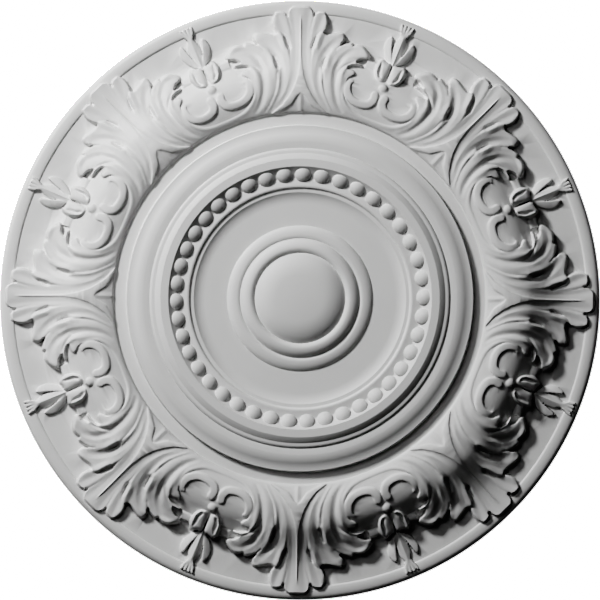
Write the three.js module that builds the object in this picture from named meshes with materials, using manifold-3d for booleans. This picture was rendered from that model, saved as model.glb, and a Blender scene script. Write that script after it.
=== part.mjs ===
// Ceiling rose: one light white casting with a domed centre, ring mouldings and a bead course,
// inside a border of draped acanthus leaves with a flower spray and a pair of scrolls between them.
// Millimetres, with +Z out of the face. The flat back lies on z = 0 and its centre is the origin.
import * as THREE from "three";
import { mergeVertices } from "three/addons/utils/BufferGeometryUtils.js";
import Module from "manifold-3d";

// Overall sizes
const RADIUS = 257;
const PROJECTION = 42;
const RING_SIDES = 40;
const LEAF_COUNT = 8;
const SECTOR = (2 * Math.PI) / LEAF_COUNT;
const BED = 2.5; // carving runs straight down to this height inside the casting
const WELD = 1e-3; // corners closer than this are one

// Border: a broad roll that rises from a valley and falls to the flat field inside the rim
const VALLEY_RADIUS = 158.6;
const VALLEY_HEIGHT = 28.1;
const ROLL_HEIGHT = 30.4;
const ROLL_START = 154.6; // the roll's curve begins inside the valley
const ROLL_CREST = 174;
const ROLL_BREAK = 184;
const ROLL_FOOT = 224;
const ROLL_ROWS = 5;
const FIELD_HEIGHT = 6.4;
const FIELD_RADIUS = 244.8;

// Mouldings from the centre to the valley: where each ends (radius, height), and the point
// that a curved one bends towards
const COURSES = [
  { name: "dome", to: [38.6, 34.7], bend: [26, 42.2], steps: 2 },
  { name: "inner ring", to: [51.2, 32.4], bend: [44, 39.6], steps: 2 },
  { name: "outer ring", to: [62.6, 29.4], bend: [57, 35.2], steps: 2 },
  { name: "dish", to: [81, 29.6] },
  { name: "cavetto", to: [91, 32.2] },
  { name: "fillet", to: [95.2, 34.2] },
  { name: "bead channel floor", to: [111, 33.6] },
  { name: "band edge", to: [112.4, 39.5] },
  { name: "band", to: [119, 39.6] },
  { name: "scotia", to: [128.6, 34.5], bend: [123, 36.6], steps: 2 },
  { name: "ovolo", to: [147.6, 31.5], bend: [139, 35.8], steps: 2 },
  { name: "lip", to: [148.8, 28.2] },
  { name: "valley", to: [VALLEY_RADIUS, VALLEY_HEIGHT] },
];

// Rim: a low bead that rounds over to the edge of the back
const RIM = [
  { name: "rim rise", to: [249.6, 8.2] },
  { name: "rim round", to: [RADIUS, 3.2], bend: [256.2, 8.4], steps: 2 },
  { name: "edge", to: [RADIUS, 0] },
  { name: "back", to: [0, 0] },
];

// Bead course
const BEAD_COUNT = 42;
const BEAD = { radius: 6.6, reach: 104.6, level: 31.8 };

// Leaf: it drapes over the roll and comes to rest above the field. The outline holds half of it,
// from the tip to the foot: [across, radius, lift] at each lobe's corners and at the notches between.
const LEAF_RISE = 2.2;
const LEAF_LOW = 7;
const LEAF_FOOT = 234;
const LEAF_ROWS = 4;
const LEAF_BASE = { spread: 0.22, radius: 161 };
const LEAF_WAIST = { half: 26, radius: 200 };
const LEAF_OUTLINE = [
  [0, 255.5, 1.2],
  [11, 251.5, 1.2],
  [13.5, 243.5, -1],
  [26, 246.5, 1.2],
  [21, 229.5, -1],
  [34, 230, 1],
  [41, 223, 1],
  [32, 213, -1],
  [50, 217.5, 1],
  [64, 209, 1],
  [40, 186, 0],
];

// Scroll, beside the leaf, as an arc in plan from the leaf's axis
const SCROLL = { centre: [54, 178.5], radius: 11.5, from: 0.15, to: -4, half: 3.4, rise: 2, rows: 5 };

// Flower spray, in plan from its own axis: a bead, a pair of roses on stems, petals and a tuft on the rim
const SPRAY_BEAD = { radius: 4.1, reach: 196.5, level: 26 };
const ROSE = { radius: 8, across: 8.6, reach: 210, level: 15 };
const STEM = { from: [13, 209.5], to: [25, 211], half: 2.2, rise: 2.5 };
const PETALS = { foot: 218, tip: 243, half: 14, neck: 4, points: 3, notch: 11, rise: 3.6, rows: 2 };
const FAN_DROOP = 0.25; // an outer point falls short by this share of its distance from the axis
const FAN_HOLLOW = 0.6; // share of the rise that a notch keeps
const TUFT = { foot: 244.2, tip: 254, half: 6, neck: 2, points: 3, notch: 5, rise: 3.2, rows: 1 };

const wasm = await Module();
wasm.setup();

const { lerp, smoothstep } = THREE.MathUtils;
const CENTRE = new THREE.Vector2();

// Height of the roll at a radius, falling to a lower level at a foot
function draped(radius, low, foot) {
  const inner = smoothstep(radius, ROLL_START, ROLL_CREST);
  const crest = lerp(VALLEY_HEIGHT, ROLL_HEIGHT, inner);
  return lerp(crest, low, smoothstep(radius, ROLL_BREAK, foot));
}

function rollHeight(radius) {
  return draped(radius, FIELD_HEIGHT, ROLL_FOOT);
}

function leafHeight(radius) {
  return draped(radius, LEAF_LOW, LEAF_FOOT) + LEAF_RISE;
}

// A closed geometry with each shared corner kept once
function welded(geometry) {
  geometry.deleteAttribute("normal");
  geometry.deleteAttribute("uv");
  return mergeVertices(geometry, WELD);
}

// A closed geometry as a solid, without the faces that welding has collapsed
function solidOf(geometry) {
  const { index, attributes } = welded(geometry);
  const faces = [];
  for (let i = 0; i < index.count; i += 3) {
    const [a, b, c] = index.array.slice(i, i + 3);
    if (a !== b && b !== c && c !== a) faces.push(a, b, c);
  }
  const vertProperties = new Float32Array(attributes.position.array);
  const triVerts = new Uint32Array(faces);
  return new wasm.Manifold(new wasm.Mesh({ numProp: 3, vertProperties, triVerts }));
}

function joined(geometries) {
  return geometries.map(solidOf).reduce((whole, piece) => whole.add(piece));
}

function geometryOf(solid) {
  const mesh = solid.getMesh();
  const geometry = new THREE.BufferGeometry();
  geometry.setAttribute("position", new THREE.BufferAttribute(mesh.vertProperties, 3));
  geometry.setIndex(new THREE.BufferAttribute(mesh.triVerts, 1));
  geometry.computeVertexNormals();
  return geometry;
}

// Copies turned about the rose's axis
function turned(geometries, angle) {
  return geometries.map((geometry) => geometry.clone().rotateZ(angle));
}

function ring(geometries, count) {
  const copies = Array.from({ length: count }, (_, turn) => turned(geometries, (turn * 2 * Math.PI) / count));
  return copies.flat();
}

// The same carving on the other side of its axis: mirrored, with its faces turned back out
function mirrored(geometry) {
  const copy = geometry.clone().scale(-1, 1, 1);
  const corners = copy.index.array;
  for (let i = 0; i < corners.length; i += 3) {
    [corners[i + 1], corners[i + 2]] = [corners[i + 2], corners[i + 1]];
  }
  return copy;
}

// The turned body: every course follows on from the one before it
function addCourse(points, { to, bend, steps = 1 }) {
  const start = points.at(-1);
  const end = new THREE.Vector2(...to);
  const middle = bend ? new THREE.Vector2(...bend) : start.clone().lerp(end, 0.5);
  const curve = new THREE.QuadraticBezierCurve(start, middle, end);
  points.push(...curve.getPoints(steps).slice(1));
}

function body() {
  const points = [new THREE.Vector2(0, PROJECTION)];
  COURSES.forEach((course) => addCourse(points, course));
  for (let row = 1; row <= ROLL_ROWS; row++) {
    const radius = lerp(VALLEY_RADIUS, ROLL_FOOT, row / ROLL_ROWS);
    points.push(new THREE.Vector2(radius, rollHeight(radius)));
  }
  points.push(new THREE.Vector2(FIELD_RADIUS, FIELD_HEIGHT));
  RIM.forEach((course) => addCourse(points, course));
  return new THREE.LatheGeometry(points.reverse(), RING_SIDES).rotateX(Math.PI / 2);
}

// A patch of carving. skin(across, along), with across from -1 to 1 and along from 0 to 1, gives
// a point of its top, and its sides go straight down, as a casting leaves its mould.
function carving(columns, rows, skin) {
  const geometry = new THREE.BoxGeometry(2, 1, 2, columns, rows, 1);
  const position = geometry.attributes.position;
  for (let i = 0; i < position.count; i++) {
    const top = skin(position.getX(i), position.getY(i) + 0.5);
    const height = position.getZ(i) > 0 ? top.z : BED;
    position.setXYZ(i, top.x, top.y, height);
  }
  return geometry;
}

// A leaf is fluted: each column of its patch runs from the foot, through the waist, to one point
// of the outline, and stands higher on a lobe than at a notch
function leaf() {
  const last = LEAF_OUTLINE.length - 1;
  const skin = (across, along) => {
    const column = Math.round(Math.abs(across) * last);
    const side = Math.sign(across);
    const [tipAcross, tipRadius, lift] = LEAF_OUTLINE[column];
    const share = (side * column) / last;
    const foot = new THREE.Vector2(0, LEAF_BASE.radius).rotateAround(CENTRE, -share * LEAF_BASE.spread);
    const waist = new THREE.Vector2(share * LEAF_WAIST.half, LEAF_WAIST.radius);
    const tip = new THREE.Vector2(side * tipAcross, tipRadius);
    const plan = new THREE.QuadraticBezierCurve(foot, waist, tip).getPoint(along);
    return new THREE.Vector3(plan.x, plan.y, leafHeight(plan.length()) + lift);
  };
  return [carving(2 * last, LEAF_ROWS, skin)];
}

function scroll() {
  const { centre, radius, from, to, half, rise, rows } = SCROLL;
  const skin = (across, along) => {
    const angle = lerp(from, to, along);
    const reach = radius + across * half;
    const plan = new THREE.Vector2(centre[0] + reach * Math.cos(angle), centre[1] + reach * Math.sin(angle));
    return new THREE.Vector3(plan.x, plan.y, rollHeight(plan.length()) + rise);
  };
  const right = carving(1, rows, skin);
  return [right, mirrored(right)];
}

// A straight bar that lies on the roll
function bar({ from, to, half, rise }) {
  const start = new THREE.Vector2(...from);
  const end = new THREE.Vector2(...to);
  const side = end.clone().sub(start).normalize().rotateAround(CENTRE, -Math.PI / 2);
  const skin = (across, along) => {
    const plan = start.clone().lerp(end, along).addScaledVector(side, across * half);
    return new THREE.Vector3(plan.x, plan.y, rollHeight(plan.length()) + rise);
  };
  return carving(1, 1, skin);
}

// A faceted ball, `reach` out from the rose's centre and `across` from the axis
function ball({ radius, reach, across = 0, level }) {
  return welded(new THREE.IcosahedronGeometry(radius)).translate(across, reach, level);
}

// Petals or fingers side by side: a fan whose points stand proud of the notches between them
function fan({ foot, tip, half, neck, points, notch, rise, rows }) {
  const columns = 2 * points;
  const skin = (across, along) => {
    const onPoint = Math.round(((across + 1) / 2) * columns) % 2;
    const end = tip - (1 - onPoint) * notch - Math.abs(across) * half * FAN_DROOP;
    const reach = lerp(foot, end, along);
    const height = rollHeight(reach) + rise * lerp(FAN_HOLLOW, 1, onPoint);
    return new THREE.Vector3(across * lerp(neck, half, along), reach, height);
  };
  return carving(columns, rows, skin);
}

function spray() {
  const side = [ball(ROSE), bar(STEM)];
  return [ball(SPRAY_BEAD), fan(PETALS), fan(TUFT), ...side, ...side.map(mirrored)];
}

function border() {
  return ring([...leaf(), ...scroll(), ...turned(spray(), SECTOR / 2)], LEAF_COUNT);
}

function beads() {
  return ring([ball(BEAD)], BEAD_COUNT);
}

const castWhite = new THREE.MeshStandardMaterial({ color: 0xd9d9d7, roughness: 0.62, metalness: 0 });
const rose = new THREE.Mesh(geometryOf(joined([body(), ...beads(), ...border()])), castWhite);
rose.name = "ceiling_rose";

const group = new THREE.Group();
group.add(rose);

export default group;
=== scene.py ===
# %% [markdown]
# # A cast ceiling rose
# The rose is one white casting, a little over half a metre across: a shallow dome, turned rings, a course of
# beads and a border of eight draped leaves with a flower spray between each pair. It lies on its flat back
# here, so the camera looks down on the face that a room would look up at. Everything is in metres, in the frame
# of the solid model that is loaded first.

# %% The frame
import math
import bpy
import numpy as np
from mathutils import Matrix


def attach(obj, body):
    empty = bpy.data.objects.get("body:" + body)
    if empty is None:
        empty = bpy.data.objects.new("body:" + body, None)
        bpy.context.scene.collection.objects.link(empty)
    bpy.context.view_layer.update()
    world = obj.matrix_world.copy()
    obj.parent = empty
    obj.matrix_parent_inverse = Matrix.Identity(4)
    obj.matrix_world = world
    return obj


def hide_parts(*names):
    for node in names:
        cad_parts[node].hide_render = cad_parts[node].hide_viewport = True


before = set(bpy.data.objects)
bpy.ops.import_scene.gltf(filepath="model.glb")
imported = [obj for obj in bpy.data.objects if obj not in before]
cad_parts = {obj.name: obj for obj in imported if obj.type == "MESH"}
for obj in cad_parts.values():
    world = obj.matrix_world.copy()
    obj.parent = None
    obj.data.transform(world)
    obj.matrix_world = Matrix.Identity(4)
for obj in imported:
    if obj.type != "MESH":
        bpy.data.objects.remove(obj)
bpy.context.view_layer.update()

# %% [markdown]
# ## Sizes and the turned profile
# A running mould would cut the rings of a real plaster rose: one template, dragged round a pin. A Screw modifier
# could turn a drawn profile in the same way. Here the template is a list of courses, because the carving needs
# its heights too. Each course ends at a radius and a height, and a bend point turns it into a smooth moulding.
# All lengths are in millimetres until the mesh is made.

# %% Template courses
RADIUS = 257.0
PROJECTION = 42.0
VALLEY = (157.6, 25.8)

CENTRE_COURSES = [
    # (radius, height) at the end, bend or None for a straight run, steps
    ((20.0, 41.4), (10.0, 42.0), 5),       # crown of the dome
    ((38.0, 35.0), (31.6, 40.7), 9),       # its falling edge
    ((38.8, 34.4), None, 1),               # groove
    ((43.0, 36.9), (40.4, 36.9), 6),       # inner ring, up
    ((50.6, 32.4), (47.8, 36.8), 8),       # inner ring, down
    ((51.4, 32.2), None, 1),
    ((54.0, 33.1), (52.0, 33.0), 4),       # outer ring, up
    ((62.4, 29.3), (59.8, 33.0), 8),       # outer ring, down
    ((63.2, 29.3), None, 1),
    ((81.5, 29.5), None, 1),               # dish
    ((90.6, 32.1), (87.2, 29.6), 7),       # cavetto
    ((93.2, 32.2), None, 1),               # narrow flat
    ((94.6, 33.7), (94.2, 32.4), 3),
    ((96.4, 34.2), (95.0, 34.2), 3),       # rounded fillet
    ((103.0, 33.3), None, 1),              # bead channel
    ((112.0, 39.3), (106.2, 33.4), 5),
    ((112.4, 39.6), None, 1),
    ((119.0, 39.6), None, 1),              # band
    ((124.0, 36.4), (121.6, 38.4), 5),     # its outer slope
    ((126.0, 36.2), None, 1),              # step
    ((128.4, 34.4), (127.3, 36.1), 3),
    ((134.0, 34.9), (130.6, 34.8), 3),
    ((141.2, 33.1), (138.2, 34.8), 5),     # ovolo
    ((147.6, 31.5), (144.2, 31.6), 5),     # lip
    ((148.2, 26.6), None, 1),
    ((149.0, 25.9), None, 1),
    (VALLEY, None, 1),
]
BORDER_COURSES = [
    ((158.9, 25.8), None, 1),
    ((159.6, 27.8), None, 2),              # foot of the roll
    ((175.0, 31.9), (165.6, 30.9), 24),    # rise to its crest
    ((198.0, 24.5), (190.0, 31.9), 24),
    ((211.0, 12.8), None, 1),              # slope
    ((226.0, 6.4), (217.9, 6.5), 16),
    ((245.4, 6.3), None, 1),               # flat field
    ((246.3, 7.3), None, 1),
    ((252.8, 7.5), (249.6, 8.0), 6),       # rim band
    ((RADIUS, 2.8), (256.6, 6.9), 8),      # rounded edge
]
LEAF_COURSES = [
    ((158.9, 26.0), None, 1),
    ((159.6, 28.2), None, 1),              # foot of the leaf
    ((175.0, 32.4), (165.4, 31.4), 16),
    ((199.0, 27.4), (190.4, 32.7), 16),
    ((208.6, 21.6), None, 1),              # fall over the roll
    ((224.0, 14.4), (214.6, 17.9), 12),
    ((RADIUS, 12.0), (237.0, 10.6), 12),   # lift of the tips
]
print("courses:", len(CENTRE_COURSES), "in the centre,", len(BORDER_COURSES), "in the border")

# %% [markdown]
# ## From courses to points
# A moulding looks crisp only if its arrises are, and smooth shading would round them off. A bevel could be added
# at each of them. It is simpler to set points close to both ends of every course: the corner then keeps its
# place, and the shading bends over a fifth of a millimetre.

# %% Profiles
ARRIS = 0.2
ARRIS_SHARE = 0.3
LEAF_LIFT = 0.2


def template(start, courses):
    """The points of a profile: quadratic bends between course ends, with close points at each arris."""
    points = [np.array(start, float)]
    for end, bend, steps in courses:
        first, last = points[-1], np.array(end, float)
        middle = (first + last) / 2 if bend is None else np.array(bend, float)
        length = np.hypot(*(last - first))
        share = min(ARRIS / length, ARRIS_SHARE)
        inner = np.linspace(0, 1, steps + 1)[1:-1]
        for t in [share, *inner, 1 - share, 1]:
            points.append((1 - t) ** 2 * first + 2 * t * (1 - t) * middle + t * t * last)
    return np.array(points)


def heights(profile, radius):
    return np.interp(radius, profile[:, 0], profile[:, 1])


centre_profile = template((0.0, PROJECTION), CENTRE_COURSES)
border_profile = template(VALLEY, BORDER_COURSES)
leaf_profile = template((VALLEY[0], VALLEY[1] + LEAF_LIFT), LEAF_COURSES)
print("template points:", len(centre_profile), "in the centre,", len(border_profile), "in the border")

# %% [markdown]
# ## Carving by curves
# The border is a relief, so it can be written as one height for each place. Sculpting by hand would give it too,
# but not from a few numbers that can be corrected. The carver's marks are curves that carry a width and a depth:
# a gouge cuts along one, a rib stands up along another, and a closed curve is the edge of a leaf or a petal.
# Three helpers draw such a curve, measure how far a place is from it and tell what lies inside a closed one.

# %% Curves


def through(rows, steps):
    """A smooth curve through the rows. Further columns, such as a width, are carried along."""
    p = np.array(rows, float)
    p = np.vstack([2 * p[0] - p[1], p, 2 * p[-1] - p[-2]])
    t = np.linspace(0, 1, steps, endpoint=False)[:, None]
    parts = []
    for a, b, c, d in zip(p[:-3], p[1:-2], p[2:-1], p[3:]):
        bend = (2 * a - 5 * b + 4 * c - d) * t ** 2
        twist = (3 * b - a - 3 * c + d) * t ** 3
        parts.append(b + 0.5 * ((c - a) * t + bend + twist))
    return np.vstack(parts + [p[-2:-1]])


def follow(x, y, line):
    """Distance to a line, the side of it, and its further columns at the nearest place."""
    best = np.full(x.shape, np.inf)
    side = np.ones(x.shape)
    carried = np.zeros(x.shape + (line.shape[1] - 2,))
    for a, b in zip(line[:-1], line[1:]):
        run, rise = b[:2] - a[:2]
        t = np.clip(((x - a[0]) * run + (y - a[1]) * rise) / (run * run + rise * rise), 0, 1)
        dx, dy = x - a[0] - t * run, y - a[1] - t * rise
        distance = np.hypot(dx, dy)
        near = distance < best
        best[near] = distance[near]
        side[near] = np.sign(run * dy - rise * dx)[near]
        carried[near] = (a[2:] + t[..., None] * (b[2:] - a[2:]))[near]
    return best, side, carried


def within(x, y, loop):
    """True inside a closed outline."""
    result = np.zeros(x.shape, bool)
    for (x0, y0), (x1, y1) in zip(loop, np.roll(loop, -1, axis=0)):
        if y0 != y1:
            result ^= ((y0 > y) != (y1 > y)) & (x < (x1 - x0) * (y - y0) / (y1 - y0) + x0)
    return result


print("a curve through 3 rows in 4 steps:", len(through([(0, 0), (1, 1), (2, 0)], 4)), "points")

# %% [markdown]
# ## Cross-sections
# A gouge leaves a hollow with soft shoulders, a knife a narrow cut, and a rib is half a round. Each of these is a
# function from 1 on the curve to 0 at its edge, so one helper can carve with all of them.

# %% Cross-sections
CURVE_STEPS = 8
CREASE_POWER = 1.4


def unit(value):
    return np.clip(value, 0, 1)


def ease(value):
    """A change from 0 to 1 that starts and ends gently."""
    value = unit(value)
    return value * value * (3 - 2 * value)


def rounded(value):
    """A quarter round from 0 at an edge to 1."""
    return np.sqrt(1 - (1 - unit(value)) ** 2)


def swell(distance, half):
    """A soft hollow or pipe."""
    return 0.5 + 0.5 * np.cos(np.pi * unit(distance / half))


def crease(distance, half):
    """A narrow cut, sharp at the bottom."""
    return (1 - unit(distance / half)) ** CREASE_POWER


def half_round(distance, half):
    return rounded(1 - distance / half)


def carve(x, y, z, lines, section, way):
    """Heights after work along some lines; way is 1 to raise and -1 to cut."""
    for rows in lines:
        distance, side, carried = follow(x, y, through(rows, CURVE_STEPS))
        z = z + way * carried[..., 1] * section(distance, carried[..., 0])
    return z


print("halfway to the edge: swell", round(float(swell(1, 2)), 2), "crease", round(float(crease(1, 2)), 2))

# %% [markdown]
# ## The edge of an acanthus leaf
# Half a leaf is enough, because the other half is its mirror image. Across is the distance from the leaf's axis,
# and along is measured out from the rose's centre. The edge is drawn lobe by lobe, nine in all with the small
# teeth, so that the curve is smooth along each lobe and turns sharply in the notch between two of them.

# %% Lobes
LEAF_LOBES = [
    [(0, 252.6), (5.1, 252.4), (8.6, 250.8), (10.8, 247.8), (11.6, 243.9)],
    [(11.6, 243.9), (13, 246.2), (17.2, 247.5), (21.2, 246.8), (23.5, 243), (24.2, 238), (23, 232.5),
     (20.8, 229.2)],
    [(20.8, 229.2), (23.2, 227.8), (28.3, 228.4), (34.3, 229.4), (38.6, 228.6), (40.3, 225), (39.2, 221.5),
     (36.6, 218.6)],
    [(36.6, 218.6), (39.5, 219.6), (44, 220.4), (46.8, 220), (47.6, 217.8)],
    [(47.6, 217.8), (51.5, 218.4), (55.5, 217.6), (59.2, 214.5), (63.1, 208.8), (62.2, 205.6), (59.5, 204.6),
     (56.5, 205), (53.5, 204.2), (51, 202.8)],
    [(51, 202.8), (53.4, 201.8), (55.4, 200.4), (56, 198.2)],
    [(56, 198.2), (52, 198.8), (48, 199.4), (44.6, 198.8), (42.8, 197.2)],
    [(42.8, 197.2), (46.3, 196), (48.9, 194.2), (49.3, 191.6), (46.5, 189.8), (43.3, 188.3), (40.8, 184)],
    [(40.8, 184), (39, 180.2), (38.3, 175), (39.5, 169), (42.9, 163), (47.4, 157.9), (52.3, 154.4),
     (60.1, 151.2)],
]
LEAF_FOOT = [(60.1, 137.3), (0, 137.3)]
LOBE_STEPS = 4

leaf_line = np.vstack([through(lobe, LOBE_STEPS)[:-1] for lobe in LEAF_LOBES] + [LEAF_LOBES[-1][-1]])
leaf_loop = np.vstack([leaf_line, LEAF_FOOT])
print("leaf edge:", len(LEAF_LOBES), "lobes,", len(leaf_line), "points")

# %% [markdown]
# ## Flutes, pipes and creases
# Hollow flutes run from the large lobes down to the foot, and two short ones bend a tip over. Round pipes stand
# beside them, and narrow creases part the lobes. The last two flutes are the deep parts of the eyes. Each line
# is a few places that carry a half width and a depth or height.

# %% Carved lines
FLUTES = [
    # across, along, half width, depth
    [(7.7, 248.8, 6, 0.6), (6, 236.8, 5, 0.8), (4.8, 220, 4, 0.7), (4.6, 205, 3.4, 0.5), (6, 192, 3.4, 0.4),
     (9.5, 180, 3.2, 0.4), (15, 170, 2.8, 0.4), (23.2, 161.3, 2.4, 0.2)],
    [(19.4, 243.7, 5, 0.7), (16.6, 235.9, 5, 0.9), (13.4, 228.2, 4, 0.7), (10.3, 219.6, 3, 0.2)],
    [(37, 222.5, 5, 0.3), (32, 220.8, 5.2, 0.9), (26.6, 216.6, 5.2, 1.6), (21.6, 210.5, 5, 2.1),
     (18, 203.5, 4.6, 2), (15.6, 195, 4.2, 1.2), (15, 186, 3.8, 0.7), (16.8, 176, 3.4, 0.5),
     (24.5, 161.3, 2.6, 0.2)],
    [(58, 211.5, 5, 0.3), (48.9, 213, 5, 0.9), (41, 209.5, 4.6, 1.7), (35.5, 204, 4.2, 2.2), (31.5, 196, 4, 2),
     (30, 187, 3.6, 1.2), (30.2, 178, 3.4, 0.9), (32, 169, 3.2, 0.7), (36.5, 159.5, 2.6, 0.3)],
    [(44.5, 217, 3, 0.4), (39.5, 215.4, 4, 0.6), (33.5, 210.2, 4, 0.4)],
    [(42, 225, 6, 3.2), (38.4, 226.4, 5, 1.4), (34, 227, 4, 0.2)],
    [(65, 207.5, 6, 4), (60.5, 212, 5, 1.4), (56, 215, 4, 0.2)],
    [(10.2, 216.2, 3.2, 2.8), (11.4, 219, 3.2, 2.8), (13.4, 223.6, 2.6, 1.6)],
    [(19.2, 198.8, 3.4, 3), (20.3, 202, 3.4, 3), (22.2, 206.6, 2.6, 1.6)],
]
PIPES = [
    # across, along, half width, height
    [(11.8, 219, 1.6, 0.5), (11, 213.5, 1.8, 0.6), (9.9, 205.9, 1.8, 0.4), (9.6, 197.3, 1.8, 0.3),
     (10, 188.8, 1.8, 0.2), (13, 177, 1.8, 0.2), (18, 168, 1.8, 0.2), (24, 160, 1.8, 0.1)],
    [(19, 201.5, 1.4, 0.3), (17.9, 196, 1.6, 0.6), (18, 190.2, 1.8, 0.7), (18.2, 184.3, 1.8, 0.6),
     (19.3, 177.5, 1.8, 0.4), (21.7, 171, 1.8, 0.3), (25.5, 163, 1.8, 0.3), (29.5, 157.5, 1.8, 0.1)],
    [(42.9, 206.3, 3, 0.4), (34, 204, 3.5, 0.5), (27.5, 198, 4, 0.6), (25.5, 188.8, 4, 0.5), (25.2, 180, 4, 0.4),
     (26.6, 171.6, 3.8, 0.4), (30.5, 163, 3.4, 0.4), (36, 157, 3, 0.2)],
    [(50, 216, 3, 0.5), (55.5, 214.8, 4, 1.3), (59.5, 211.4, 4, 1.3), (61.5, 208, 3, 0.6)],
    [(54, 199.2, 3, 0), (48, 200.8, 4, 0.3), (42, 199.5, 5, 1.2), (38.2, 194, 4.6, 1.6), (36, 186.2, 4.2, 1.2),
     (35.2, 177.6, 3.8, 0.7), (36.5, 168.2, 3.4, 0.4), (40.8, 159.6, 3, 0.2)],
]
CREASES = [
    # across, along, half width, depth
    [(11.6, 243.9, 1.5, 0.7), (9.9, 237.7, 1.6, 0.6), (8.4, 229.9, 1.5, 0.4), (7.7, 221.4, 1.4, 0.1)],
    [(20.2, 193, 1.3, 0.8), (20, 188, 1.5, 0.7), (20.4, 182, 1.5, 0.6), (22, 174.5, 1.5, 0.4),
     (25.2, 166.5, 1.4, 0.3), (29, 159.5, 1.4, 0.2)],
    [(48, 202.8, 1.6, 0.6), (44.6, 201.6, 2.2, 1.6), (41.2, 200, 2.6, 2.4), (36.9, 197.3, 2.8, 2.8),
     (33.5, 193.5, 2.8, 2), (31.9, 188, 2.6, 1), (31.2, 180, 2.4, 0.5), (33, 169, 2.2, 0.3)],
    [(42.8, 197, 1.6, 1.2), (39.9, 193.9, 2, 0.8), (37.8, 188.8, 2, 0.3)],
    [(36.9, 218.8, 1.2, 1.6), (33.9, 216.2, 1.2, 1.2), (31.3, 214.2, 1.2, 0.8)],
    [(43, 198.4, 2.2, 2.6), (46, 198.9, 1.8, 2.2), (49, 199.2, 1.2, 1)],
]
print("carved lines:", len(FLUTES), "flutes,", len(PIPES), "pipes,", len(CREASES), "creases")

# %% [markdown]
# ## Eyes and folds
# Between two large lobes the carver drills an eye, where one lobe dips under the fold of the next. It drops at a
# low wall on one side and rises across its width to a fold that stands above the leaf. A round hole would read as
# a dot, so the eye is a line whose width and depth taper to its ends.

# %% Eyes
EYES = [
    # across, along, half width, depth
    [(19.8, 230.4, 0.9, 0.7), (16.4, 228.6, 1.4, 1.4), (13.4, 224, 1.8, 2), (11.4, 218.8, 1.9, 2),
     (10.4, 214.4, 1.7, 1.3), (9.9, 209.5, 1.3, 0.5), (9.7, 204, 1, 0)],
    [(26.2, 212.2, 0.8, 0.5), (23.2, 207.5, 1.4, 1.4), (21, 202, 1.9, 2), (19.6, 196.8, 1.8, 1.4),
     (18.8, 191.5, 1.3, 0.6), (18.4, 186, 1, 0)],
]
EYE_WALL = 0.6
FOLD_SHARE = 1.3
FOLD_REACH = 6.0


def cut_eyes(x, y, z):
    for rows in EYES:
        distance, side, carried = follow(x, y, through(rows, CURVE_STEPS))
        half, depth = carried[..., 0], carried[..., 1]
        offset = side * distance
        slope = unit((half + offset) / (2 * half))
        wall = unit((half + offset) / EYE_WALL)
        fold = slope * swell(np.maximum(offset - half, 0), FOLD_REACH)
        z = z + depth * (FOLD_SHARE * fold - wall * (1 - slope))
    return z


print("eyes in half a leaf:", len(EYES))

# %% [markdown]
# ## Stem and fork
# A plain stem runs up the middle. It is a fine rib at the tip, widens downwards and splits at the foot into a
# fork, with a small tongue in the gap. Both are half widths at some places along the axis, joined by straight
# lines, because their edges are cut straight down.

# %% Stem
STEM_HALF = [
    # along, half width
    (157, 25.5), (160.4, 21.5), (165.6, 15.4), (172.5, 10.3), (180.2, 6), (190.5, 2.6), (201.6, 0.9), (211, 0.6),
    (243, 0.5),
]
STEM_RISE = 1.2
STEM_EDGE = 0.6
STEM_TOP = 245.0
STEM_FADE = 7.0
FORK_HALF = [(157, 24), (160.4, 17.2), (165.6, 8.6), (173.3, 3.6), (177, 0)]
FORK_DEPTH = 1.3
FORK_EDGE = 1.2
TONGUE_HALF = 3.2
TONGUE_RISE = 0.8


def raise_stem(x, y, z):
    stem = np.interp(y, *np.array(STEM_HALF).T)
    z = z + STEM_RISE * unit((stem - x) / STEM_EDGE + 0.5) * unit((STEM_TOP - y) / STEM_FADE)
    fork = np.interp(y, *np.array(FORK_HALF).T)
    tongue = TONGUE_RISE * swell(x, TONGUE_HALF)
    return z - np.maximum(FORK_DEPTH * unit((fork - x) / FORK_EDGE) - tongue, 0)


print("stem:", 2 * STEM_HALF[-1][1], "mm wide at the tip,", 2 * STEM_HALF[0][1], "mm at the foot")

# %% [markdown]
# ## Half a leaf
# The leaf's own template gives its fall over the roll, and the marks are cut into that one after another. At the
# edge the leaf drops most of the way to what lies under it, so that it reads as a thick sheet with a worn arris
# and not as a stamped step. At the foot it fades into the roll.

# %% Half a leaf
EDGE_DROP = 0.85
EDGE_SPREAD = 0.32
EDGE_LIMITS = (0.6, 1.4)
EDGE_START = 161.6
FOOT_FADE = (158.9, 160.4)


def leaf_height(x, y, radius, body):
    """Height of the carved leaf, and where the leaf is."""
    z = heights(leaf_profile, radius)
    z = carve(x, y, z, FLUTES, swell, -1)
    z = carve(x, y, z, PIPES, swell, 1)
    z = carve(x, y, z, CREASES, crease, -1)
    z = raise_stem(x, y, z)
    to_edge = follow(x, y, leaf_line)[0]
    rise = np.maximum(z - body, 0)
    spread = np.clip(rise * EDGE_SPREAD, *EDGE_LIMITS)
    z = z - EDGE_DROP * rise * (1 - unit(to_edge / spread)) * (y > EDGE_START)
    z = cut_eyes(x, y, z)
    fade = ease((radius - FOOT_FADE[0]) / (FOOT_FADE[1] - FOOT_FADE[0]))
    return body + (z - body) * fade, within(x, y, leaf_loop)


print("leaf edge: drops", round(100 * EDGE_DROP), "% within", EDGE_LIMITS, "mm")

# %% [markdown]
# ## Scrolls and the framing rib
# A thin rib leaves the leaf's lowest curl, sweeps down and runs along the foot of the roll to the next leaf. A
# scroll shaped like a C lies inside it. A bevelled curve object could make both, but as heights they melt into
# the roll as a casting does. The scroll is measured from the axis of the flower spray, halfway between two leaves.

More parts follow.
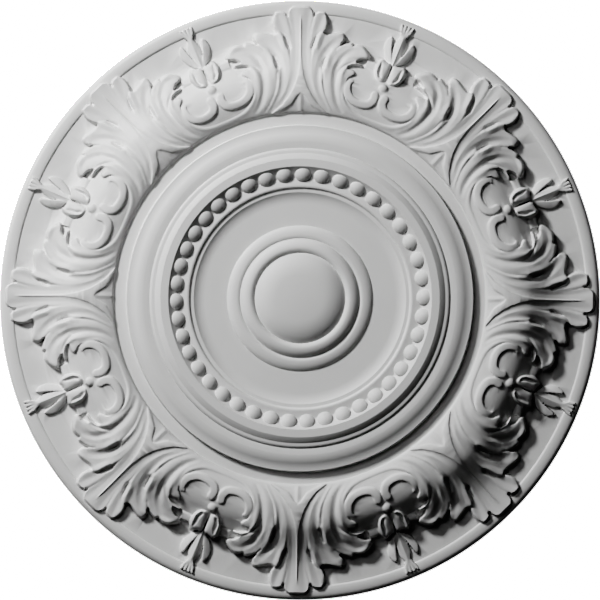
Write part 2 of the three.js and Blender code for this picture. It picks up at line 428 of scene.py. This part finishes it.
# %% Rib and scroll
RIB = [
    # across, along, half width, height
    (45, 186.9, 1.5, 1.0), (40.3, 183.6, 1.6, 1.3), (38, 179.8, 1.8, 1.4), (37.4, 174.2, 1.8, 1.4),
    (38.8, 168.3, 1.8, 1.3), (42.6, 161.8, 2.0, 1.1), (47.2, 157.3, 2.1, 0.9), (53.6, 153.6, 2.2, 0.8),
    (61.9, 149.8, 2.2, 0.8),
]
SCROLL = [
    (4.5, 185, 3.5, 1.6), (3.9, 180.6, 3.7, 1.9), (6.4, 175.9, 3.7, 1.9), (11.2, 173.7, 3.6, 1.9),
    (17.2, 173.1, 3.5, 1.9), (23.2, 174.5, 3.5, 1.9), (27.9, 178, 3.6, 1.9), (30, 182.3, 3.3, 1.9),
    (29.7, 187, 2.2, 1.5), (27.8, 189.2, 1.4, 1.0),
]
SCROLL_SQUARE = 5


def scroll_height(x, y, body):
    distance, side, carried = follow(x, y, through(SCROLL, CURVE_STEPS))
    half, rise = carried[..., 0], carried[..., 1]
    section = np.sqrt(1 - unit(distance / half) ** SCROLL_SQUARE)
    return np.where(distance < half, body + rise * section, 0)


print("scroll about", round(float(np.ptp(np.array(SCROLL)[:, 0])), 1), "mm wide")

# %% [markdown]
# ## Buds
# Between two leaves stand two half-open buds. Each is a cushion that leans down the slope of the roll, with a lip
# round its outer edge and a hollow inside the lip. It is a closed outline with a rounded edge, set at its own
# lean, because the buds stand off the roll and don't follow it.

# %% Buds
OUTLINE_STEPS = 6
BUD_EDGE = [
    (0.5, 198.6), (3.9, 196.8), (8.6, 198.5), (12.5, 204.2), (13.7, 211.1), (10.7, 217.4), (6.4, 216.6),
    (0.5, 214),
]
BUD_LIP = [(11.2, 214.2, 1.6, 0.8), (11.4, 208.0, 1.7, 1.2), (9.0, 201.8, 1.7, 1.3), (4.4, 199.2, 1.5, 0.9)]
BUD_HOLLOW = [(9.4, 213.5, 1.5, 1.0), (8.6, 209.5, 2.0, 2.0), (8.6, 205.5, 2.4, 2.6), (6.6, 201.6, 2.0, 2.0)]
BUD_MIDDLE = (7.2, 204.5)
BUD_LEVEL = 19.3
BUD_LEAN = 0.43
BUD_ROUND = (4.5, 4.0)
BUD_CROWN = (9.0, 1.0)


def closed(rows):
    """A smooth closed outline."""
    return through(rows + rows[:1], OUTLINE_STEPS)


def bud_height(x, y):
    edge = closed(BUD_EDGE)
    to_edge = follow(x, y, edge)[0]
    z = BUD_LEVEL - BUD_LEAN * (y - BUD_MIDDLE[1]) + BUD_ROUND[1] * rounded(to_edge / BUD_ROUND[0])
    z = z + BUD_CROWN[1] * swell(np.hypot(x - BUD_MIDDLE[0], y - BUD_MIDDLE[1]), BUD_CROWN[0])
    z = carve(x, y, z, [BUD_LIP], swell, 1)
    z = carve(x, y, z, [BUD_HOLLOW], swell, -1)
    return np.where(within(x, y, edge), z, 0)


print("bud edge:", len(closed(BUD_EDGE)), "points")

# %% [markdown]
# ## Petals and tuft
# Three long petals lie along the flat field, each with a ridge and a fall to both sides of it. At their end a tuft
# of four short fingers laps over the rim. The petals are outlines like the buds. The tuft is a fan, so its fingers
# are one repeating function of the place across it.

# %% Petals and tuft
SIDE_PETAL = [
    (0.3, 214.1), (6.4, 218.4), (11.2, 224.4), (13.2, 230.4), (12.5, 235.5), (10.2, 239.2), (8.2, 236.8),
    (6.5, 231.2), (3.9, 223.1),
]
SIDE_RIDGE = [(0.6, 215), (4.6, 223.4), (7.4, 231), (9.2, 237.5)]
MIDDLE_PETAL = [
    (0, 213.6), (3.9, 222.2), (5.2, 230.8), (4.6, 236.8), (0, 243.2), (-4.6, 236.8), (-5.2, 230.8),
    (-3.9, 222.2),
]
MIDDLE_RIDGE = [(0, 213), (0, 244)]
PETALS = [
    # edge, ridge, level at the foot, fall to each side
    (SIDE_PETAL, SIDE_RIDGE, 13.2, 0.45),
    (MIDDLE_PETAL, MIDDLE_RIDGE, 14.2, 0.6),
]
PETAL_LEAN = 0.15
PETAL_FOOT = 216.0
TUFT_LEVEL = 8.4
TUFT_RISE = 1.3
TUFT_FOOT = 240.2
TUFT_LENGTH = 12.4
TUFT_HALF = (1.7, 5.7)
TUFT_NOTCH = 0.12
TUFT_BOW = 0.1
TUFT_DEEPEN = 1.4


def petal_height(x, y, edge, ridge, level, fall):
    distance = follow(x, y, through(ridge, CURVE_STEPS))[0]
    z = level - PETAL_LEAN * (y - PETAL_FOOT) - fall * distance
    return np.where(within(x, y, closed(edge)), z, 0)


def tuft_height(x, y):
    out = (y - TUFT_FOOT) / TUFT_LENGTH
    half = TUFT_HALF[0] + TUFT_HALF[1] * unit(out)
    across = x / half
    finger = 2 * np.abs((2 * across) % 1 - 0.5)
    end = 1 - TUFT_NOTCH * finger ** 2 - TUFT_BOW * across ** 2
    section = np.sqrt(1 - unit(finger * unit(TUFT_DEEPEN * out)) ** 2)
    return np.where((out > 0) & (across < 1) & (out < end), TUFT_LEVEL + TUFT_RISE * section, 0)


print("petals:", len(PETALS), "in half a spray; the tuft ends at", TUFT_FOOT + TUFT_LENGTH, "mm")

# %% [markdown]
# ## The whole spray
# A bead starts the spray near the crest of the roll, and short straps tie the buds to the leaves. The forms only
# overlap, as they would in clay, so the highest of them at each place is the spray.

# %% Spray
SPRAY_BEAD = (192.6, 4.3, 27.4, 3.0)
STRAP_ALONG = 209.0
STRAP_HALF = 3.9
STRAP_REACH = (7.0, 22.3)
STRAP_LEVEL = 16.8
STRAP_LEAN = 0.45
STRAP_ROUND = 1.4


def spray_height(x, y):
    along, radius, level, rise = SPRAY_BEAD
    cap = 1 - (x ** 2 + (y - along) ** 2) / radius ** 2
    z = np.where(cap > 0, level + rise * np.sqrt(np.clip(cap, 0, None)), 0)
    off = np.abs(y - STRAP_ALONG)
    strap = STRAP_LEVEL - STRAP_LEAN * (y - STRAP_ALONG) - STRAP_ROUND * unit(off / STRAP_HALF) ** 3
    on_strap = (off < STRAP_HALF) & (x > STRAP_REACH[0]) & (x < STRAP_REACH[1])
    z = np.maximum(z, np.where(on_strap, strap, 0))
    z = np.maximum(z, bud_height(x, y))
    for petal in PETALS:
        z = np.maximum(z, petal_height(x, y, *petal))
    return np.maximum(z, tuft_height(x, y))


print("spray reaches from", SPRAY_BEAD[0] - SPRAY_BEAD[1], "to", TUFT_FOOT + TUFT_LENGTH, "mm")

# %% [markdown]
# ## One half sector, sampled
# The relief is measured on a fine grid from a leaf's axis to the next spray's axis, and the rest of the border
# repeats it. Where the carving cuts below the ground it may go a little into the body, but no deeper than a
# carver would dig.

# %% Half a sector
LEAF_COUNT = 8
HALF_TURN = math.pi / LEAF_COUNT
COLUMNS = 128
ROW_STEP = 0.55
CARVED_END = 244.8
RIM_START = 245.0
DIG = 1.6

rim_rows = border_profile[border_profile[:, 0] > RIM_START, 0]
radii = np.concatenate([np.arange(VALLEY[0], CARVED_END, ROW_STEP), rim_rows])
grid_radius, leaf_angle = np.meshgrid(radii, np.linspace(0, HALF_TURN, COLUMNS + 1), indexing="ij")
spray_angle = HALF_TURN - leaf_angle
leaf_x, leaf_y = grid_radius * np.sin(leaf_angle), grid_radius * np.cos(leaf_angle)
spray_x, spray_y = grid_radius * np.sin(spray_angle), grid_radius * np.cos(spray_angle)

body = heights(border_profile, grid_radius)
relief = np.maximum(body, carve(leaf_x, leaf_y, body, [RIB], half_round, 1))
leaf, on_leaf = leaf_height(leaf_x, leaf_y, grid_radius, body)
dug = relief - DIG * (relief <= body)
relief = np.where(on_leaf, np.maximum(dug, leaf), relief)
relief = np.maximum(relief, scroll_height(spray_x, spray_y, body))
relief = np.maximum(relief, spray_height(spray_x, spray_y))
print("half sector:", relief.shape, "places, the leaf on", round(100 * float(on_leaf.mean())), "% of them")

# %% [markdown]
# ## Sanded edges
# Sanding and a coat of primer take the edge off every cut on the real casting. A Smooth modifier would also pull
# in the rim and the rings. A light blur of the heights, before there is a mesh, softens only the carving.

# %% Blur
BLUR = 0.3
COLUMN_STEP = 0.7
BLUR_END = 244.0


def blurred(field, cells, axis):
    """A bell-shaped blur along one axis; the grid is mirrored at its ends."""
    reach = int(math.ceil(3 * cells))
    weights = np.exp(-0.5 * (np.arange(-reach, reach + 1) / cells) ** 2)
    padding = [(0, 0), (0, 0)]
    padding[axis] = (reach, reach)
    padded = np.pad(field, padding, mode="reflect")
    places = np.arange(field.shape[axis])
    shifted = [np.take(padded, places + n, axis=axis) for n in range(2 * reach + 1)]
    return np.tensordot(weights / weights.sum(), np.array(shifted), axes=1)


soft = blurred(blurred(relief, BLUR / ROW_STEP, 0), BLUR / COLUMN_STEP, 1)
relief = np.where(grid_radius < BLUR_END, soft, np.maximum(relief, body))
relief[0] = VALLEY[1]
relief[-1] = border_profile[-1, 1]
print("heights:", round(float(relief.min()), 1), "to", round(float(relief.max()), 1), "mm")

# %% [markdown]
# ## Round the rose
# Sixteen half sectors, every second one mirrored, close the border. The master was set out by hand, so the leaves
# and sprays stand a fraction of a degree off their even places. The small turns below, in degrees and clockwise
# from the top leaf, say how much. Between two of them the columns are moved by a share that changes gently.

# %% Places of the columns
LEAF_TURNS = [0.2, -0.3, 0.25, 0.75, 0.65, 0.6, 0.75, 1.0]
SPRAY_TURNS = [-0.9, -0.65, -0.55, 0.0, 0.2, 0.85, 0.95, -0.45]
HALVES = 2 * LEAF_COUNT
FINE = HALVES * COLUMNS

turns = np.array([value for pair in zip(LEAF_TURNS, SPRAY_TURNS) for value in pair])
column = np.arange(FINE)
lower = column // COLUMNS
first_turn, next_turn = turns[lower], turns[(lower + 1) % HALVES]
offset = first_turn + (next_turn - first_turn) * ease(column / COLUMNS - lower)
motif = np.where(lower % 2 == 0, column % COLUMNS, COLUMNS - column % COLUMNS)
ring_angles = column * (2 * math.pi / FINE) + np.radians(offset)
print("columns round the rose:", FINE, "turned by up to", float(np.abs(turns).max()), "degrees")

# %% [markdown]
# ## Points and faces
# A grid object could be bent into a disc, but its columns would crowd at the middle. Here the centre is a plain
# turned grid with a sixteenth of the border's columns, and a row of triangles stitches it to the border's innermost
# ring. The rim drops straight to a flat back, so the mesh is closed like the casting.

# %% Points
MM = 0.001
STITCH = 16
COARSE = FINE // STITCH


def ring_points(radius, height, angle):
    """Points round the rose; angles run clockwise from +Y, as seen from the face."""
    level = np.broadcast_to(height, angle.shape)
    return np.stack([radius * np.sin(angle), radius * np.cos(angle), level], axis=-1)


border = np.array([ring_points(r, relief[row, motif], ring_angles) for row, r in enumerate(radii)])
centre = np.array([ring_points(r, z, ring_angles[::STITCH]) for r, z in centre_profile[1:-1]])
back = ring_points(RADIUS, 0.0, ring_angles)
top_middle, back_middle = [[0, 0, PROJECTION]], [[0, 0, 0]]
vertices = np.vstack([top_middle, centre.reshape(-1, 3), border.reshape(-1, 3), back, back_middle])
print("points:", len(vertices))

# %% Faces
centre_start = 1
border_start = centre_start + centre.shape[0] * COARSE
back_start = border_start + border.shape[0] * FINE
back_point = back_start + FINE
faces = []


def band(first, second, count):
    """Quads between two rings of the same count."""
    for n in range(count):
        m = (n + 1) % count
        faces.append((first + n, second + n, second + m, first + m))


for n in range(COARSE):
    faces.append((0, centre_start + n, centre_start + (n + 1) % COARSE))
for row in range(centre.shape[0] - 1):
    band(centre_start + row * COARSE, centre_start + (row + 1) * COARSE, COARSE)
last_ring = border_start - COARSE
half = STITCH // 2
for n in range(COARSE):
    here, there = last_ring + n, last_ring + (n + 1) % COARSE
    fine = [border_start + (STITCH * n + k) % FINE for k in range(STITCH + 1)]
    faces += [(here, fine[k], fine[k + 1]) for k in range(half)]
    faces.append((here, fine[half], there))
    faces += [(there, fine[k], fine[k + 1]) for k in range(half, STITCH)]
for row in range(border.shape[0]):
    band(border_start + row * FINE, border_start + (row + 1) * FINE, FINE)
for n in range(FINE):
    faces.append((back_start + n, back_point, back_start + (n + 1) % FINE))

mesh = bpy.data.meshes.new("rose_casting")
mesh.from_pydata((vertices * MM).tolist(), [], [face[::-1] for face in faces])
rose = bpy.data.objects.new("rose_casting", mesh)
bpy.context.collection.objects.link(rose)
print("before thinning:", len(vertices), "points,", len(faces), "faces")

# %% [markdown]
# ## Thinning
# The flat field needs few triangles and the carving many. Decimate merges points where that changes the surface
# least; a vertex group keeps it off the turned centre, whose rings are already economical.

# %% Thin the border
TARGET_TRIANGLES = 176000


def triangle_count(polygons):
    return sum(len(polygon.vertices) - 2 for polygon in polygons)


group = rose.vertex_groups.new(name="border")
group.add(list(range(border_start + FINE, back_start - FINE)), 1.0, "REPLACE")
thin = rose.modifiers.new("thin", "DECIMATE")
thin.ratio = TARGET_TRIANGLES / triangle_count(mesh.polygons)
thin.vertex_group = group.name
graph = bpy.context.evaluated_depsgraph_get()
thinned = bpy.data.meshes.new_from_object(rose.evaluated_get(graph))
rose.modifiers.clear()
rose.data = thinned
rose.vertex_groups.clear()
bpy.data.meshes.remove(mesh)
print("after thinning:", triangle_count(rose.data.polygons), "triangles")

# %% [markdown]
# ## One bead
# A bead is a crowned button that leans towards the middle of the rose. A ball from Blender's menu would stand too
# high and show no edge. The button is a few rings of points instead: the crown, a worn edge, and a skirt that sinks
# into the channel.

# %% Bead
BEAD_CROWN = 10.0
BEAD_HALF = 6.5
BEAD_REACH = 107.8
BEAD_TOP = 38.6
BEAD_LEAN = math.radians(20)
BEAD_EDGE = (0.25, 0.5)
BEAD_SKIRT = (0.3, 4.0)
BEAD_SIDES = 24
BEAD_RINGS = 5


def bead_points(turn):
    """Points of one bead, ring by ring from its top, and the count of rings."""
    angles = np.linspace(0, math.asin(BEAD_HALF / BEAD_CROWN), BEAD_RINGS + 1)[1:]
    rings = [(BEAD_CROWN * math.sin(a), BEAD_CROWN * math.cos(a)) for a in angles]
    edge, level = rings[-1]
    rings += [(edge + wider, level - lower) for wider, lower in (BEAD_EDGE, BEAD_SKIRT)]
    outline = 2 * math.pi * np.arange(BEAD_SIDES) / BEAD_SIDES
    local = [np.array([[0, 0, BEAD_CROWN]])]
    for r, h in rings:
        local.append(np.stack([r * np.cos(outline), r * np.sin(outline), np.full(BEAD_SIDES, h)], axis=1))
    across, flat, tall = np.vstack(local).T
    out = flat * math.cos(BEAD_LEAN) - tall * math.sin(BEAD_LEAN) + BEAD_REACH
    up = flat * math.sin(BEAD_LEAN) + tall * math.cos(BEAD_LEAN) + BEAD_TOP - BEAD_CROWN
    x = out * math.sin(turn) + across * math.cos(turn)
    y = out * math.cos(turn) - across * math.sin(turn)
    return np.stack([x, y, up], axis=1), len(rings)


def bead_shell(rings):
    """Faces of one closed bead."""
    shell = [(0, 1 + (n + 1) % BEAD_SIDES, 1 + n) for n in range(BEAD_SIDES)]
    for ring in range(rings - 1):
        upper, under = 1 + ring * BEAD_SIDES, 1 + (ring + 1) * BEAD_SIDES
        for n in range(BEAD_SIDES):
            m = (n + 1) % BEAD_SIDES
            shell.append((upper + n, upper + m, under + m, under + n))
    last = 1 + (rings - 1) * BEAD_SIDES
    shell.append(tuple(range(last, last + BEAD_SIDES)))
    return shell


print("one bead:", len(bead_points(0)[0]), "points")

# %% [markdown]
# ## The bead course
# Forty-two beads lie in the channel and nearly touch. On the real rose they drift: by about two degrees, forwards on
# one side of the ring and back on the other. They come out of the same mould, so they join the same mesh, and the
# whole casting is shaded smooth but for its sharp edges.

# %% Bead course
BEAD_COUNT = 42
BEAD_TURN = math.radians(3.35)
BEAD_DRIFT = math.radians(2.06)
DRIFT_MIDDLE = math.radians(159)
SHARP = math.radians(42)

all_points, all_faces = [], []
for n in range(BEAD_COUNT):
    place = 2 * math.pi * n / BEAD_COUNT
    points, rings = bead_points(place + BEAD_TURN + BEAD_DRIFT * math.cos(place - DRIFT_MIDDLE))
    all_faces += [tuple(index + len(all_points) for index in face) for face in bead_shell(rings)]
    all_points += points.tolist()
bead_mesh = bpy.data.meshes.new("beads")
bead_mesh.from_pydata((np.array(all_points) * MM).tolist(), [], all_faces)
beads = bpy.data.objects.new("beads", bead_mesh)
bpy.context.collection.objects.link(beads)
with bpy.context.temp_override(active_object=rose, selected_editable_objects=[rose, beads]):
    bpy.ops.object.join()

rose.data.shade_smooth()
rose.data.set_sharp_from_angle(angle=SHARP)
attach(rose, "root")
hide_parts("ceiling_rose")
print("casting:", triangle_count(rose.data.polygons), "triangles")

# %% [markdown]
# ## Primed white
# The casting leaves the works with a thin matt primer. It is almost plain: the coat is a touch thicker here and
# there, which shows as a faint change of tone and gloss, and the sprayed film has a very fine tooth. One noise
# drives both tone and gloss, since both come from the thickness of the coat.

# %% Material
WHITE = (0.80, 0.80, 0.795, 1.0)
WHITE_THIN = (0.755, 0.755, 0.752, 1.0)
SHEEN = 0.25
ROUGHNESS = (0.52, 0.68)
CLOUD = {"Scale": 26, "Detail": 5}
TOOTH = {"Scale": 700, "Detail": 3}
TOOTH_STRENGTH = 0.12
TOOTH_DEPTH = 0.0003

primer = bpy.data.materials.new("primed_white")
primer.use_nodes = True
nodes, links = primer.node_tree.nodes, primer.node_tree.links
shader = nodes["Principled BSDF"]
shader.inputs["Specular IOR Level"].default_value = SHEEN
where = nodes.new("ShaderNodeTexCoord")


def noise(values):
    """A noise texture fixed to the casting."""
    node = nodes.new("ShaderNodeTexNoise")
    for name, value in values.items():
        node.inputs[name].default_value = value
    links.new(where.outputs["Object"], node.inputs["Vector"])
    return node


cloud = noise(CLOUD)
tone = nodes.new("ShaderNodeMix")
tone.data_type = "RGBA"
tone.inputs["A"].default_value = WHITE_THIN
tone.inputs["B"].default_value = WHITE
links.new(cloud.outputs["Fac"], tone.inputs["Factor"])
links.new(tone.outputs["Result"], shader.inputs["Base Color"])
gloss = nodes.new("ShaderNodeMapRange")
gloss.inputs["To Min"].default_value = ROUGHNESS[0]
gloss.inputs["To Max"].default_value = ROUGHNESS[1]
links.new(cloud.outputs["Fac"], gloss.inputs["Value"])
links.new(gloss.outputs["Result"], shader.inputs["Roughness"])

tooth = noise(TOOTH)
bump = nodes.new("ShaderNodeBump")
bump.inputs["Strength"].default_value = TOOTH_STRENGTH
bump.inputs["Distance"].default_value = TOOTH_DEPTH
links.new(tooth.outputs["Fac"], bump.inputs["Height"])
links.new(bump.outputs["Normal"], shader.inputs["Normal"])
rose.data.materials.clear()
rose.data.materials.append(primer)
print("material:", primer.name, "with", len(nodes), "nodes")

# %% [markdown]
# ## Lamps
# Relief is read by its shadows, so the light comes low from the upper left, where it comes from in the photograph.
# A small lamp, the key, draws the shadows, and a larger and higher one, the fill, opens them a little. Both are
# round area lamps, because a point or a sun would give edges harder than a studio's.

# %% Lamps
LAMP_DISTANCE = 2.4
LAMPS = [
    # name, degrees above the floor, width in metres, watts
    ("key", 35, 0.4, 29.2),
    ("fill", 62, 1.2, 5.8),
]

for name, elevation, size, power in LAMPS:
    lamp_data = bpy.data.lights.new(name, "AREA")
    lamp_data.shape = "DISK"
    lamp_data.size = size
    lamp_data.energy = power
    lamp = bpy.data.objects.new(name, lamp_data)
    flat = LAMP_DISTANCE * math.cos(math.radians(elevation)) / math.sqrt(2)
    lamp.location = (-flat, flat, LAMP_DISTANCE * math.sin(math.radians(elevation)))
    lamp.rotation_euler = (-lamp.location).to_track_quat("-Z", "Y").to_euler()
    bpy.context.collection.objects.link(lamp)
print("lamps:", [name for name, *rest in LAMPS])

# %% [markdown]
# ## Floor and surround
# The rose is photographed on plain white, cut off from any room. The floor and the surround behind it look that
# white to the camera alone; to the rose the floor is pale paper and the sky is faint, so that the shadows in the
# carving stay deep.

# %% Floor and surround
SKY = 0.0098
SURROUND = 1.05
BRIGHT = (1, 1, 1, 1)
PALE = (0.75, 0.75, 0.75, 1.0)
PAPER_ROUGHNESS = 0.9
FLOOR_HALF = 4
FLOOR_DROP = 0.0005

world = bpy.data.worlds.new("studio")
world.use_nodes = True
bpy.context.scene.world = world
sky = world.node_tree.nodes["Background"]
sky.inputs["Color"].default_value = BRIGHT
path = world.node_tree.nodes.new("ShaderNodeLightPath")
strength = world.node_tree.nodes.new("ShaderNodeMapRange")
strength.inputs["To Min"].default_value = SKY
strength.inputs["To Max"].default_value = SURROUND
world.node_tree.links.new(path.outputs["Is Camera Ray"], strength.inputs["Value"])
world.node_tree.links.new(strength.outputs["Result"], sky.inputs["Strength"])

corners = [(-FLOOR_HALF, -FLOOR_HALF, 0), (FLOOR_HALF, -FLOOR_HALF, 0), (FLOOR_HALF, FLOOR_HALF, 0),
           (-FLOOR_HALF, FLOOR_HALF, 0)]
floor_mesh = bpy.data.meshes.new("floor")
floor_mesh.from_pydata(corners, [], [(0, 1, 2, 3)])
floor = bpy.data.objects.new("floor", floor_mesh)
floor.location.z = -FLOOR_DROP
bpy.context.collection.objects.link(floor)
paper = bpy.data.materials.new("paper")
paper.use_nodes = True
paper_shader = paper.node_tree.nodes["Principled BSDF"]
paper_shader.inputs["Base Color"].default_value = PALE
paper_shader.inputs["Roughness"].default_value = PAPER_ROUGHNESS
paper_shader.inputs["Emission Color"].default_value = BRIGHT
paper_path = paper.node_tree.nodes.new("ShaderNodeLightPath")
glow = paper.node_tree.nodes.new("ShaderNodeMath")
glow.operation = "MULTIPLY"
glow.inputs[1].default_value = SURROUND
paper.node_tree.links.new(paper_path.outputs["Is Camera Ray"], glow.inputs[0])
paper.node_tree.links.new(glow.outputs["Value"], paper_shader.inputs["Emission Strength"])
floor.data.materials.append(paper)
print("floor:", 2 * FLOOR_HALF, "m wide; sky strength", SKY)

# %% [markdown]
# ## The photograph's tone
# The photograph has deep shadows, and lit whites that stop short of its white ground. Darker paint would not give
# that. A curve in the view settings does, after the light is worked out, so the primer keeps the values of a real
# white. Each pair is a level of light and the level that is shown for it.

# %% Film curve
FILM = [
    (0, 0), (0.039, 0.002), (0.065, 0.022), (0.0975, 0.078), (0.195, 0.27), (0.3575, 0.535), (0.5, 0.665),
    (0.572, 0.73), (0.68, 0.775), (0.97, 0.81), (1, 1),
]
ALL_CHANNELS = 3

view = bpy.context.scene.view_settings
view.view_transform = "Standard"
view.use_curve_mapping = True
film = view.curve_mapping.curves[ALL_CHANNELS]
film.points[0].location = FILM[0]
film.points[1].location = FILM[-1]
for level, shown in FILM[1:-1]:
    film.points.new(level, shown)
for point in film.points:
    point.handle_type = "AUTO_CLAMPED"
view.curve_mapping.extend = "HORIZONTAL"
view.curve_mapping.update()
print("film curve:", len(film.points), "points")

# %% [markdown]
# ## Camera
# The photograph is nearly square on, from far away: the raised rings sit a pixel or two above the rim's centre, so
# the camera stands under three degrees off the axis. A long lens keeps the rings from growing with their height.

# %% Camera
VIEW_DISTANCE = 6.0
VIEW_TILT = math.radians(2.7)
RIM_PIXELS = 299.5
IMAGE_PIXELS = 600
SENSOR = 36.0
CLIP_END = 50

camera_data = bpy.data.cameras.new("camera")
camera_data.sensor_width = SENSOR
camera_data.lens = SENSOR * VIEW_DISTANCE / (RADIUS * MM * IMAGE_PIXELS / RIM_PIXELS)
camera_data.clip_end = CLIP_END
camera = bpy.data.objects.new("camera", camera_data)
camera.location = (0, -VIEW_DISTANCE * math.sin(VIEW_TILT), VIEW_DISTANCE * math.cos(VIEW_TILT))
camera.rotation_euler = (VIEW_TILT, 0, 0)
bpy.context.collection.objects.link(camera)
bpy.context.scene.camera = camera
print("lens:", round(camera_data.lens), "mm")
